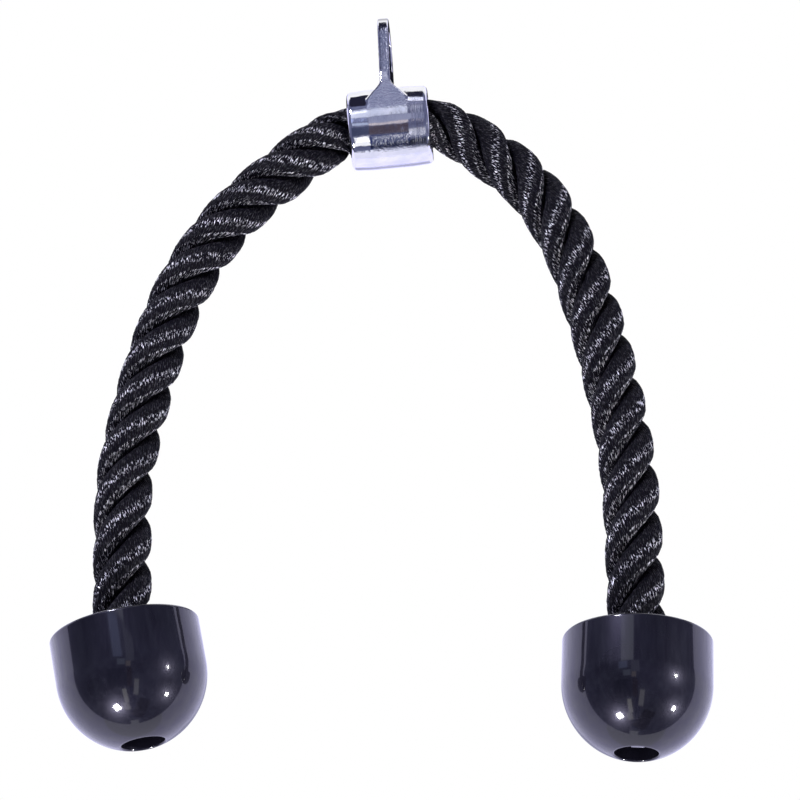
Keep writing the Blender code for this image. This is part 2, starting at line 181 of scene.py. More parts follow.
def neck_side(foot):
    """Half of the ring and neck seen from the side: round the ring, past the dent and down. With a
    foot radius it goes on to the band and round inside the barrel's wall, and else it stops short."""
    lean = math.asin((BAND_RADIUS - RING_RADIUS) / BORE_DROP)
    half = arc((0, 0), RING_RADIUS, math.pi / 2, lean, RING_STEPS)
    half += DENT
    if foot:
        half.append((BAND_RADIUS * math.cos(lean), BAND_RADIUS * math.sin(lean) - BORE_DROP))
        half += arc((0, -BORE_DROP), foot, lean, math.pi / 2, NECK_FOOT_STEPS)
    else:
        half += [(DENT[1][0], PLATE_FOOT), (0, PLATE_FOOT)]
    return half


def mirrored(half):
    """A closed outline in the YZ plane from its right half."""
    whole = half + [(-y, z) for y, z in reversed(half) if abs(y) > 10 * SAME_POINT]
    return [(0, y, z) for y, z in whole]


half_length = BARREL_LENGTH / 2
lip = BARREL_LIP_RADIUS
mouth = BORE_MOUTH_RADIUS
barrel_half = arc(
    (half_length - mouth, BORE_RADIUS + mouth), mouth, -math.pi / 2, 0, BORE_MOUTH_STEPS
)
barrel_half += arc(
    (half_length - lip, BARREL_END_RADIUS - lip), lip, 0, math.pi / 2, BARREL_LIP_STEPS
)
barrel_half.append((BAND_LENGTH / 2, BAND_RADIUS))
barrel_outline = [(x, 0, r) for x, r in barrel_half + [(-x, r) for x, r in reversed(barrel_half)]]
barrel = turned_shell("barrel", barrel_outline, (1, 0, 0), BARREL_STEPS)
place(barrel, Matrix.Translation((0, 0, -BORE_DROP)))

flare_half = arc(
    (RING_THICKNESS / 2 + FLARE_RADIUS, FLARE_TOP),
    FLARE_RADIUS,
    math.pi,
    math.pi + FLARE_SLOPE,
    FLARE_STEPS,
)
fall = (BAND_LENGTH / 2 - flare_half[-1][0]) / math.tan(FLARE_SLOPE)
flare_half += [
    (BAND_LENGTH / 2, flare_half[-1][1] - fall),
    (BAND_LENGTH / 2, -BORE_DROP),
]
flare_half.insert(0, (RING_THICKNESS / 2, FLARE_TOP + FLARE_OVERLAP))
flare_front = [(x, 0, z) for x, z in flare_half + [(-x, z) for x, z in reversed(flare_half)]]
flare = flat_bar("flare", flare_front, 3 * BAND_RADIUS)
neck = flat_bar("neck", mirrored(neck_side(NECK_FOOT_RADIUS)), 2 * BAND_LENGTH)
apply_modifier(flare, "BOOLEAN", operation="INTERSECT", solver="EXACT", object=neck)
bpy.data.objects.remove(neck)

ring = flat_bar("ring", mirrored(neck_side(0)), RING_THICKNESS)
bpy.ops.object.select_all(action="DESELECT")
bpy.ops.mesh.primitive_cylinder_add(
    vertices=HOLE_STEPS,
    radius=RING_HOLE_RADIUS,
    depth=3 * RING_THICKNESS,
    rotation=(0, math.pi / 2, 0),
)
punch = bpy.context.object
apply_modifier(ring, "BOOLEAN", operation="DIFFERENCE", solver="EXACT", object=punch)
bpy.data.objects.remove(punch)
apply_modifier(
    ring,
    "BEVEL",
    width=RING_EDGE_RADIUS,
    segments=RING_EDGE_STEPS,
    limit_method="ANGLE",
    angle_limit=SHARP_CORNER,
)

# The plate is bent where the neck begins to flare.
bend_line = Matrix.Translation((0, 0, FLARE_TOP))
place(ring, bend_line @ Matrix.Rotation(RING_BEND, 4, "Y") @ bend_line.inverted())
eye_collar = joined("chromed_eye_collar", [barrel, flare, ring])
apply_modifier(eye_collar, "REMESH", mode="VOXEL", voxel_size=FORGING_VOXEL, use_smooth_shade=True)
apply_modifier(eye_collar, "SMOOTH", factor=0.5, iterations=FORGING_SMOOTHING)
place(eye_collar, Matrix.Rotation(-HANG_TWIST, 4, "Z") @ Matrix.Rotation(-HANG_TILT, 4, "Y"))


def linear(code):
    """An sRGB hex colour as the linear values that a shader takes."""
    channels = [int(code[k : k + 2], 16) / 255 for k in (1, 3, 5)]
    return (*[c / 12.92 if c <= 0.04045 else ((c + 0.055) / 1.055) ** 2.4 for c in channels], 1)


def add(tree, kind, links=None, **settings):
    """Adds a node. Settings name its properties and sockets, and links its sockets' sources, or a
    number for a socket that shares its name with another."""
    made = tree.nodes.new(kind)
    for key, value in settings.items():
        if hasattr(made, key):
            setattr(made, key, value)
        else:
            made.inputs[key.replace("_", " ")].default_value = value
    for key, source in (links or {}).items():
        if isinstance(source, (int, float)):
            made.inputs[key].default_value = source
        else:
            tree.links.new(source, made.inputs[key])
    return made


def new_material(name):
    """An empty material and its tree."""
    made = bpy.data.materials.new(name)
    made.use_nodes = True
    made.node_tree.nodes.clear()
    return made, made.node_tree


def finish_material(tree, shader):
    """Leads the shader to the material's surface."""
    output = add(tree, "ShaderNodeOutputMaterial")
    tree.links.new(shader.outputs[0], output.inputs["Surface"])


# Nickel and chrome over a forged skin: a mirror that mottles about every 1.1 mm on the ring, the
# flare and the band's underside. The band's front and the barrel's right end were ground first,
# so they show the grinding lines, 0.4 mm apart. The left end was polished. The ring's top is
# painted dark as a painted reflection. Scales are in cells a metre.
GROUND_TOP = -BORE_DROP - 0.4 * MM
GROUND_FOOT = -BORE_DROP - 14.4 * MM
GROUND_END = BARREL_LENGTH / 2 - 2 * MM
GROUND_SOFTNESS = 0.5 * MM
BAND_SOFTNESS = 0.4 * MM
PEEL_SCALE = 900.0
PEEL_DEPTH = 0.17 * MM
SWELL_SCALE = 110.0
SWELL_DEPTH = 0.5 * MM
LINE_SCALE = 2600.0
LINE_DEPTH = 0.12 * MM
PAINTED_DARK_FOOT = 10.5 * MM
PAINTED_DARK_TOP = 13 * MM
chrome, tree = new_material("chrome_on_forged_steel")
place_in = add(tree, "ShaderNodeTexCoord")
in_line = add(
    tree,
    "ShaderNodeMapping",
    {"Vector": place_in.outputs["Object"]},
    vector_type="TEXTURE",
    Rotation=(0, -HANG_TILT, 0),
)
apart = add(tree, "ShaderNodeSeparateXYZ", {"Vector": in_line.outputs[0]})


def between(tree, value, low, high, soft):
    """One where the value lies between two bounds, and zero beyond them, with soft edges."""
    rise = add(tree, "ShaderNodeMapRange", {"Value": value}, From_Min=low - soft, From_Max=low + soft)
    fall = add(tree, "ShaderNodeMapRange", {"Value": value}, From_Min=high + soft, From_Max=high - soft)
    product = {0: rise.outputs[0], 1: fall.outputs[0]}
    return add(tree, "ShaderNodeMath", product, operation="MULTIPLY").outputs[0]


on_band = between(tree, apart.outputs["X"], -BAND_LENGTH / 2, BAND_LENGTH / 2, BAND_SOFTNESS)
ground_front = between(tree, apart.outputs["Z"], GROUND_FOOT, GROUND_TOP, GROUND_SOFTNESS)
off_band = add(tree, "ShaderNodeMath", {0: 1, 1: on_band}, operation="SUBTRACT")
smoothed = add(tree, "ShaderNodeMath", {0: ground_front, 1: off_band.outputs[0]}, operation="MAXIMUM")
skin = add(tree, "ShaderNodeMapRange", {"Value": smoothed.outputs[0]}, To_Min=0.6, To_Max=0.08)
peel = add(
    tree,
    "ShaderNodeTexNoise",
    {"Vector": in_line.outputs[0]},
    Scale=PEEL_SCALE,
    Detail=3.0,
    Roughness=0.5,
)
swell = add(tree, "ShaderNodeTexNoise", {"Vector": in_line.outputs[0]}, Scale=SWELL_SCALE, Detail=2.0)
peel_bump = add(
    tree,
    "ShaderNodeBump",
    {"Height": peel.outputs["Fac"], "Strength": skin.outputs[0]},
    Distance=PEEL_DEPTH,
)
swell_bump = add(
    tree,
    "ShaderNodeBump",
    {"Height": swell.outputs["Fac"], "Normal": peel_bump.outputs[0]},
    Strength=0.35,
    Distance=SWELL_DEPTH,
)
right_end = between(tree, apart.outputs["X"], BAND_LENGTH / 2, GROUND_END, GROUND_SOFTNESS)
ground = add(tree, "ShaderNodeMath", {0: right_end, 1: ground_front}, operation="MAXIMUM")
lines = add(
    tree,
    "ShaderNodeTexNoise",
    {"W": apart.outputs["X"]},
    noise_dimensions="1D",
    Scale=LINE_SCALE,
    Detail=2.0,
)
line_depth = add(tree, "ShaderNodeMapRange", {"Value": right_end}, To_Min=0.07, To_Max=0.32)
line_strength = add(
    tree, "ShaderNodeMath", {0: ground.outputs[0], 1: line_depth.outputs[0]}, operation="MULTIPLY"
)
line_bump = add(
    tree,
    "ShaderNodeBump",
    {
        "Height": lines.outputs["Fac"],
        "Strength": line_strength.outputs[0],
        "Normal": swell_bump.outputs[0],
    },
    Distance=LINE_DEPTH,
)
haze = add(tree, "ShaderNodeMapRange", {"Value": ground.outputs[0]}, To_Min=0.05, To_Max=0.11)
plating = add(tree, "ShaderNodeValToRGB", {"Fac": swell.outputs["Fac"]})
plating.color_ramp.elements[0].position = 0.3
plating.color_ramp.elements[0].color = linear("#e6e8f2")
plating.color_ramp.elements[1].position = 0.7
plating.color_ramp.elements[1].color = linear("#f8f7fc")
# Painted dark reflection: the plating darkens to #30303e from 10.5 mm to 13 mm above the ring's middle,
# up to the ring's top.
painted_dark_top = add(
    tree,
    "ShaderNodeMapRange",
    {"Value": apart.outputs["Z"]},
    From_Min=PAINTED_DARK_FOOT,
    From_Max=PAINTED_DARK_TOP,
    To_Max=0.8,
)
plated = add(
    tree,
    "ShaderNodeMixRGB",
    {"Fac": painted_dark_top.outputs[0], "Color1": plating.outputs[0]},
    Color2=linear("#30303e"),
)
metal = add(
    tree,
    "ShaderNodeBsdfPrincipled",
    {
        "Base Color": plated.outputs[0],
        "Roughness": haze.outputs[0],
        "Normal": line_bump.outputs[0],
    },
    Metallic=1.0,
)
finish_material(tree, metal)
eye_collar.data.materials.append(chrome)
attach(eye_collar, "collar")
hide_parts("eye_collar")

# Rope: three strands of black polypropylene yarn, laid right-handed at 79 mm a turn. The strands
# are twisted the other way, so that the yarns on their crowns run along the rope. It is one rope
# from cap to cap, and its mesh is parted at the collar's mouths and 40 mm beyond them.
HELIX_RADIUS = 8.59 * MM
STRAND_DEPTH = 6.35 * MM
STRAND_BREADTH = 8.9 * MM
STRAND_COUNT = 3
LAY_LENGTH = 79 * MM
LAY_START = math.radians(34)
WALL_SOFTNESS = 0.35 * MM
WALL_OVERLAP = 0.25 * MM
SQUEEZE_SHARE = 0.6
BEND_LENGTH = 40 * MM
SPREAD_LENGTH = 100 * MM
CORE_RADIUS = 4.8 * MM
CORE_SIDES = 12
YARN_COUNT = 38
YARN_SIDES = 4
YARN_HEIGHT = 0.7 * MM
YARN_CREST = 0.75
YARN_TWIST = -1.19
YARN_TWIST_RADIUS = 7.1 * MM
YARN_WAVES = (9.0 * MM, 4.7 * MM, 14.0 * MM, 6.1 * MM, 21.0 * MM, 3.3 * MM)
YARN_LIFTS = (0.10 * MM, 0.06 * MM)
YARN_STRAYS = (0.10, 0.07, 0.05)
YARN_SWELL = 0.25
ROUTE_STEP = 0.5 * MM
WAY_SPAN = 1.5 * MM
CURVE_SPAN = 4 * MM
RING_STEP = 1.9 * MM
UV_APART = 1000
CAP_HEIGHT = 61 * MM
CAP_FLOOR = 9 * MM
ROPE_END_INSIDE = 48.4 * MM
TOWARDS_VIEWER = np.array([0, -1.0, 0])
COLLAR_MIDDLE = Matrix.Rotation(-HANG_TILT, 3, "Y") @ Vector((0, 0, -BORE_DROP))
BORE_WAY = (
    Matrix.Rotation(-HANG_TWIST, 3, "Z") @ Matrix.Rotation(-HANG_TILT, 3, "Y") @ Vector((1, 0, 0))
)
LEFT_ROUTE = [
    (-31, -58), (-51.5, -75.5), (-71, -94), (-88, -114.5), (-102, -138), (-112.5, -162.5),
    (-120.5, -188.5), (-127, -216), (-132, -243), (-135, -271.5), (-134.5, -300),
    (-133.5, -326), (-131.5, -350.5),
]
RIGHT_ROUTE = [
    (37.5, -51.5), (60, -68), (79.5, -87), (93.5, -109.5), (103.5, -133.5), (110.5, -158.5),
    (117, -186), (122.5, -215.5), (127, -247), (129, -277), (129.5, -305.5),
    (129.5, -331), (129.5, -355.5),
]
LEFT_CAP_LEAN = math.radians(11.3)
RIGHT_CAP_LEAN = math.radians(-2.7)


class Leg:
    """One half of the rope's centre line: a smooth curve from the collar's middle into the cap."""

    def __init__(self, side, route, lean):
        # The smooth spline through the knots that leaves and arrives in the given directions
        self.side = side
        self.rim = np.array([route[-1][0] * MM, 0, route[-1][1] * MM])
        self.into_cap = np.array([math.sin(lean), 0, -math.cos(lean)])
        middle = np.array(COLLAR_MIDDLE)
        outward = np.array(BORE_WAY) * side
        knots = [middle + outward * BARREL_LENGTH / 2]
        knots += [np.array([x * MM, 0, z * MM]) for x, z in route]
        spans = [np.linalg.norm(b - a) for a, b in zip(knots, knots[1:])]
        weights = np.eye(len(knots))
        wanted = np.zeros((len(knots), 3))
        wanted[0], wanted[-1] = outward, self.into_cap
        for k in range(1, len(knots) - 1):
            before, after = spans[k - 1], spans[k]
            weights[k, k - 1 : k + 2] = after, 2 * (before + after), before
            slope_in = (knots[k] - knots[k - 1]) / before
            slope_out = (knots[k + 1] - knots[k]) / after
            wanted[k] = 3 * (slope_in * after + slope_out * before)
        slopes = np.linalg.solve(weights, wanted)
        points = [middle]
        for k, span in enumerate(spans):
            for t in np.arange(0, 1, ROUTE_STEP / span):
                points.append(
                    (2 * t**3 - 3 * t**2 + 1) * knots[k]
                    + (t**3 - 2 * t**2 + t) * span * slopes[k]
                    + (3 * t**2 - 2 * t**3) * knots[k + 1]
                    + (t**3 - t**2) * span * slopes[k + 1]
                )
        points += [knots[-1], knots[-1] + self.into_cap * CAP_HEIGHT]
        self.points = np.array(points)
        steps = np.linalg.norm(np.diff(self.points, axis=0), axis=1)
        self.reach = np.concatenate([[0], np.cumsum(steps)])
        self.rim_distance = self.reach[-2]

    def at(self, distance):
        """The point at a distance from the collar's middle."""
        return np.array([np.interp(distance, self.reach, self.points[:, k]) for k in range(3)])

    def way(self, distance):
        """The direction of the rope there, towards the right-hand cap."""
        along = self.at(distance + WAY_SPAN) - self.at(max(distance - WAY_SPAN, 0))
        return self.side * along / np.linalg.norm(along)

    def curvature(self, distance):
        """How sharply the rope bends there: one over its radius."""
        turn = np.cross(self.way(distance - CURVE_SPAN), self.way(distance + CURVE_SPAN))
        return math.asin(min(1, np.linalg.norm(turn))) / (2 * CURVE_SPAN)


# How far the lay has slipped along the rope, by the distance from the collar's middle, in mm
LEFT_LAY_SLIP = [(22.5, 0), (70, 1.8), (150, 2.5), (260, 2.0), (300, 1.2), (340, 0)]
RIGHT_LAY_SLIP = [
    (22.5, 0), (60, -0.6), (130, 0.8), (165, 2.1), (200, 1.8), (235, 1.0), (262, -0.4),
    (330, -1.2),
]
legs = {-1: Leg(-1, LEFT_ROUTE, LEFT_CAP_LEAN), 1: Leg(1, RIGHT_ROUTE, RIGHT_CAP_LEAN)}
yarn_random = np.random.default_rng(11)
yarn_table = (STRAND_COUNT, YARN_COUNT, len(YARN_WAVES))
yarn_starts = yarn_random.uniform(0, 2 * math.pi, yarn_table)
yarn_rates = yarn_random.uniform(0.8, 1.25, yarn_table)


def strand_ring(distance, number):
    """One strand's section, square to the rope: its points, its middle, and how much each point
    faces away from the rope's middle and towards the strand's lower edge."""
    leg = legs[-1 if distance < 0 else 1]
    reach = abs(distance)
    way = leg.way(reach)
    outward = np.cross(TOWARDS_VIEWER, way)
    slips = np.array(LEFT_LAY_SLIP if distance < 0 else RIGHT_LAY_SLIP) * MM
    laid = distance - leg.side * np.interp(reach, slips[:, 0], slips[:, 1])
    turn = LAY_START + 2 * math.pi * (laid / LAY_LENGTH + number / STRAND_COUNT)
    radial = math.cos(turn) * outward + math.sin(turn) * TOWARDS_VIEWER
    sideways = -math.sin(turn) * outward + math.cos(turn) * TOWARDS_VIEWER
    keep = 1 - SQUEEZE_SHARE * HELIX_RADIUS * leg.curvature(reach)
    sides = YARN_COUNT * YARN_SIDES
    yarn = np.arange(sides) // YARN_SIDES
    within = (np.arange(sides) % YARN_SIDES) / YARN_SIDES
    phase = distance * 2 * math.pi / np.array(YARN_WAVES)
    waves = np.sin(yarn_starts[number][yarn] + phase * yarn_rates[number][yarn])
    lift = waves[:, :2] @ YARN_LIFTS
    stray = waves[:, 2:5] @ YARN_STRAYS
    twist = YARN_TWIST * distance / YARN_TWIST_RADIUS
    angle = twist + 2 * math.pi * (np.arange(sides) + stray * YARN_SIDES) / sides
    crest = np.sqrt(np.clip(1 - (2 * within - 1) ** 2, 0, 1)) - YARN_CREST
    height = YARN_HEIGHT * crest * (1 + YARN_SWELL * waves[:, 5]) + lift
    depth = STRAND_DEPTH * keep + height
    breadth = STRAND_BREADTH + height
    out = HELIX_RADIUS + depth * np.cos(angle)
    along = breadth * np.sin(angle)
    # A strand flattens where it meets its neighbours, half way between their middles.
    wall = np.maximum(out * math.tan(math.pi / STRAND_COUNT) + WALL_OVERLAP, 0)
    past = np.log1p(np.exp(np.clip((np.abs(along) - wall) / WALL_SOFTNESS, -30, 30)))
    past *= WALL_SOFTNESS
    along = np.sign(along) * (np.abs(along) - past)
    centre = leg.at(reach)
    ring = centre + out[:, None] * radial + along[:, None] * sideways
    facing = np.stack([np.cos(angle), -leg.side * np.sin(angle)], axis=1)
    return ring, centre + HELIX_RADIUS * radial, facing


def make_rope(name, first, last):
    """The three strands between two distances along the rope, as one mesh with its own UV maps."""
    count = max(2, round(abs(last - first) / RING_STEP))
    distances = [first + (last - first) * k / count for k in range(count + 1)]
    sides = YARN_COUNT * YARN_SIDES
    points, faces, spots, crowns, ends = [], [], [], [], []
    for number in range(STRAND_COUNT):
        base = len(points)
        for distance in distances:
            ring_points, middle, crown = strand_ring(distance, number)
            points += ring_points.tolist()
            crowns += crown.tolist()
            if distance in (first, last):
                ends.append((len(points) - sides, middle.tolist()))
        for row in range(count):
            v = (distances[row] / MM, distances[row + 1] / MM)
            for column in range(sides):
                after = (column + 1) % sides
                a = base + row * sides + column
                b = base + row * sides + after
                faces.append((a, b, b + sides, a + sides))
                u = (column / YARN_SIDES, (column + 1) / YARN_SIDES)
                spots.append([(u[0], v[0]), (u[1], v[0]), (u[1], v[1]), (u[0], v[1])])
                spots[-1] = [(x, y + UV_APART * number) for x, y in spots[-1]]
    # A core stands for the yarns pressed into the middle of the lay, which let no light through.
    base = len(points)
    for distance in distances:
        leg = legs[-1 if distance < 0 else 1]
        way = leg.way(abs(distance))
        outward = np.cross(TOWARDS_VIEWER, way)
        for t in np.linspace(0, 2 * math.pi, CORE_SIDES, endpoint=False):
            spoke = math.cos(t) * outward + math.sin(t) * TOWARDS_VIEWER
            points.append((leg.at(abs(distance)) + CORE_RADIUS * spoke).tolist())
            crowns.append((-1, 0))
    for row in range(count):
        for column in range(CORE_SIDES):
            a = base + row * CORE_SIDES + column
            b = base + row * CORE_SIDES + (column + 1) % CORE_SIDES
            faces.append((a, b, b + CORE_SIDES, a + CORE_SIDES))
            u, v = column, distances[row] / MM
            spots.append([(u, v), (u + 1, v), (u + 1, v + 2), (u, v + 2)])
    side_faces = len(faces)
    for k, (start, middle) in enumerate(ends):
        points.append(middle)
        crowns.append((-1, 0))
        for column in range(sides):
            pair = (start + column, start + (column + 1) % sides)
            pair = pair[::-1] if k % 2 == 0 else pair
            faces.append((*pair, len(points) - 1))
            spots.append([(0, 0), (0.2, 0), (0, 0.2)])
    mesh = bpy.data.meshes.new(name)
    mesh.from_pydata(points, [], faces)
    layer = mesh.uv_layers.new(name="yarn")
    layer.data.foreach_set("uv", [value for face in spots for spot in face for value in spot])
    crown_layer = mesh.uv_layers.new(name="crown")
    around = [value for face in faces for corner in face for value in crowns[corner]]
    crown_layer.data.foreach_set("uv", around)
    mesh.update()
    shape = bmesh.new()
    shape.from_mesh(mesh)
    shape.faces.ensure_lookup_table()
    for face in shape.faces[side_faces:]:
        for edge in face.edges:
            edge.smooth = not any(other.index < side_faces for other in edge.link_faces)
    volume = shape.calc_volume(signed=True)
    if volume < 0:
        bmesh.ops.reverse_faces(shape, faces=shape.faces)
    shape.to_mesh(mesh)
    shape.free()
    mesh.shade_smooth()
    made = bpy.data.objects.new(name, mesh)
    bpy.context.scene.collection.objects.link(made)
    made.data.materials.append(yarn_material)
    return made


# Black polypropylene multifilament yarn: near-black with a violet cast. The seams between yarns
# are painted darker as shade. On each strand's crown and along its lower edge, short broken dashes,
# 0.4 mm wide and 2.4 mm long, are painted near-white and metallic as highlights where glossy
# filaments would catch the lamps. The filaments are drawn too coarse, 0.2 mm, to show at all. The
# pattern's scales are in cells across one yarn, 1.2 mm, and in cells a millimetre along it.
FILAMENT_DEPTH = 0.15 * MM
DASH_DEPTH = 0.5 * MM
yarn_material, tree = new_material("black_polypropylene_yarn")
spot = add(tree, "ShaderNodeUVMap", uv_map="yarn")
fine = add(tree, "ShaderNodeMapping", {"Vector": spot.outputs[0]}, Scale=(5.0, 0.4, 1.0))
filament = add(
    tree, "ShaderNodeTexNoise", {"Vector": fine.outputs[0]}, Scale=1.0, Detail=3.0, Roughness=0.6
)
short = add(tree, "ShaderNodeMapping", {"Vector": spot.outputs[0]}, Scale=(2.9, 0.42, 1.0))
dash = add(
    tree, "ShaderNodeTexNoise", {"Vector": short.outputs[0]}, Scale=1.0, Detail=2.0, Roughness=0.5
)
long = add(tree, "ShaderNodeMapping", {"Vector": spot.outputs[0]}, Scale=(0.25, 0.03, 1.0))
dye = add(tree, "ShaderNodeTexNoise", {"Vector": long.outputs[0]}, Scale=1.0, Detail=2.0)
black = add(tree, "ShaderNodeValToRGB", {"Fac": filament.outputs["Fac"]})
black.color_ramp.elements[0].position = 0.35
black.color_ramp.elements[0].color = linear("#030307")
black.color_ramp.elements[1].position = 0.75
black.color_ramp.elements[1].color = linear("#121023")
dyed = add(
    tree,
    "ShaderNodeMixRGB",
    {"Fac": dye.outputs["Fac"], "Color1": black.outputs[0]},
    blend_type="MULTIPLY",
    Color2=linear("#a8a6b4"),
)
across = add(tree, "ShaderNodeSeparateXYZ", {"Vector": spot.outputs[0]})
crest = add(tree, "ShaderNodeMath", {0: across.outputs["X"], 1: 0.5}, operation="PINGPONG")
# Painted shade: the seams between yarns are darkened to near-black #020103, as shade in the crevices.
painted_crevice_shade = add(
    tree,
    "ShaderNodeMapRange",
    {"Value": crest.outputs[0]},
    From_Min=0.08,
    From_Max=0.3,
    To_Min=1.0,
    To_Max=0.0,
)
shaded = add(
    tree,
    "ShaderNodeMixRGB",
    {"Fac": painted_crevice_shade.outputs[0], "Color1": dyed.outputs[0]},
    Color2=linear("#020103"),
)
gap_free = add(tree, "ShaderNodeMapRange", {"Value": crest.outputs[0]}, From_Min=0.06, From_Max=0.2)
crown_place = add(tree, "ShaderNodeUVMap", uv_map="crown")
crown = add(tree, "ShaderNodeSeparateXYZ", {"Vector": crown_place.outputs[0]})
# Painted highlight: near-white #f2f0fa dashes with raised metallic, on the strands' crowns and lower
# edges, stand in for lamp glints off the filaments.
crown_glint_band = add(
    tree, "ShaderNodeMapRange", {"Value": crown.outputs["X"]}, From_Min=0.89, From_Max=0.99, To_Min=0.05
)
fleck = add(tree, "ShaderNodeMapRange", {"Value": dash.outputs["Fac"]}, From_Min=0.553, From_Max=0.605)
edge_glint_band = between(tree, crown.outputs["Y"], 0.93, 0.98, 0.025)
glint_bands = add(
    tree, "ShaderNodeMath", {0: crown_glint_band.outputs[0], 1: edge_glint_band}, operation="MAXIMUM"
)
on_crest = add(
    tree, "ShaderNodeMath", {0: gap_free.outputs[0], 1: glint_bands.outputs[0]}, operation="MULTIPLY"
)
painted_glint = add(
    tree, "ShaderNodeMath", {0: fleck.outputs[0], 1: on_crest.outputs[0]}, operation="MULTIPLY"
)
bright = add(
    tree,
    "ShaderNodeMixRGB",
    {"Fac": painted_glint.outputs[0], "Color1": shaded.outputs[0]},
    Color2=linear("#f2f0fa"),
)
gloss = add(tree, "ShaderNodeMapRange", {"Value": painted_glint.outputs[0]}, To_Min=0.55, To_Max=0.34)
glint = add(tree, "ShaderNodeMapRange", {"Value": painted_glint.outputs[0]}, To_Max=0.8)
filament_bump = add(
    tree, "ShaderNodeBump", {"Height": filament.outputs["Fac"]}, Strength=0.8, Distance=FILAMENT_DEPTH
)
dash_bump = add(
    tree,
    "ShaderNodeBump",
    {"Height": dash.outputs["Fac"], "Normal": filament_bump.outputs[0]},
    Strength=0.9,
    Distance=DASH_DEPTH,
)
yarn_shader = add(
    tree,
    "ShaderNodeBsdfPrincipled",
    {
        "Base Color": bright.outputs[0],
        "Metallic": glint.outputs[0],
        "Roughness": gloss.outputs[0],
        "Normal": dash_bump.outputs[0],
    },
    IOR=1.5,
    Specular_IOR_Level=0.08,
)
finish_material(tree, yarn_shader)

CORD_MARKS = 140
mouth_distance = BARREL_LENGTH / 2
pivot_distance = mouth_distance + BEND_LENGTH
in_collar = make_rope("rope_in_collar", -mouth_distance, mouth_distance)
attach(in_collar, "collar")
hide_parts(*[f"collar_strand_{k + 1}" for k in range(STRAND_COUNT)])
lower_ropes = {}
for side_name, side in (("left", -1), ("right", 1)):
    leg = legs[side]
    end_distance = leg.rim_distance + ROPE_END_INSIDE
    bend_ends = sorted((side * mouth_distance, side * pivot_distance))
    leg_ends = sorted((side * pivot_distance, side * end_distance))
    upper = make_rope(f"{side_name}_rope_bend", *bend_ends)
    leg.at(mouth_distance)
    leg.at(pivot_distance)
    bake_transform(upper)
    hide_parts(*[f"{side_name}_upper_strand_{k + 1}" for k in range(STRAND_COUNT)])
    lower = make_rope(f"{side_name}_rope_leg", *leg_ends)
    leg.at(pivot_distance)
    leg.at(pivot_distance + SPREAD_LENGTH)
    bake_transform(lower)
    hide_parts(*[f"{side_name}_lower_strand_{k + 1}" for k in range(STRAND_COUNT)])
    lower_ropes[side] = (lower, np.linspace(pivot_distance, end_distance, CORD_MARKS))

# End caps: moulded from black plastic in a polished mould, a short drum with a domed end and a
# round hole at its bottom. Each is slid down the rope until its neck rests on the ferrule inside
# it, and the left one hangs cocked backwards.
CAP_RADIUS = 38.25 * MM
CAP_STRAIGHT = 24 * MM
CAP_RIM_RADIUS = 1.6 * MM
CAP_HOLE_RADIUS = 11 * MM
CAP_HOLE_EDGE = 0.9 * MM
CAP_MOUTH_RADIUS = 1.5 * MM
CAP_NECK = 20 * MM
CHAMBER_RADIUS = 17.8 * MM
CAP_STEPS = 200
CAP_EDGE_STEPS = 8
CAP_HOLE_STEPS = 5
CAP_DOME_STEPS = 56
SMOOTH_ANGLE = math.radians(35)
GATE_WIDTH = 8.6 * MM
GATE_REACH = 4.8 * MM
GATE_ROOT = 1.2 * MM
GATE_THICKNESS = 1.6 * MM
GATE_LIFT = 1.9 * MM
GATE_TIP_SHARE = 0.78
GATE_EDGE = 0.35 * MM
LEFT_CAP_SWING = math.radians(4.5)
LEFT_CAP_RAISE = 0.8 * MM

drop = CAP_HEIGHT - CAP_STRAIGHT
dome = drop / math.sqrt(1 - (CAP_HOLE_RADIUS / CAP_RADIUS) ** 2)
last = math.acos((CAP_HOLE_RADIUS + CAP_HOLE_EDGE) / CAP_RADIUS)
cap_half = arc(
    (CAP_RADIUS - CAP_RIM_RADIUS, -CAP_RIM_RADIUS), CAP_RIM_RADIUS, math.pi / 2, 0, CAP_EDGE_STEPS
)
cap_half += [
    (CAP_RADIUS * math.cos(t), -CAP_STRAIGHT - dome * math.sin(t))
    for t in np.linspace(0, last, CAP_DOME_STEPS)
]
hole_edge_middle = (CAP_HOLE_RADIUS + CAP_HOLE_EDGE, cap_half[-1][1] + CAP_HOLE_EDGE)
cap_half += arc(hole_edge_middle, CAP_HOLE_EDGE, -math.pi / 2, -math.pi, CAP_HOLE_STEPS)[1:]
cap_half += [
    (CAP_HOLE_RADIUS, CAP_FLOOR - CAP_HEIGHT),
    (CHAMBER_RADIUS, CAP_FLOOR - CAP_HEIGHT),
    (CHAMBER_RADIUS, -CAP_NECK),
    (BORE_RADIUS, -CAP_NECK),
]
cap_half += arc(
    (BORE_RADIUS + CAP_MOUTH_RADIUS, -CAP_MOUTH_RADIUS),
    CAP_MOUTH_RADIUS,
    math.pi,
    math.pi / 2,
    CAP_EDGE_STEPS,
)

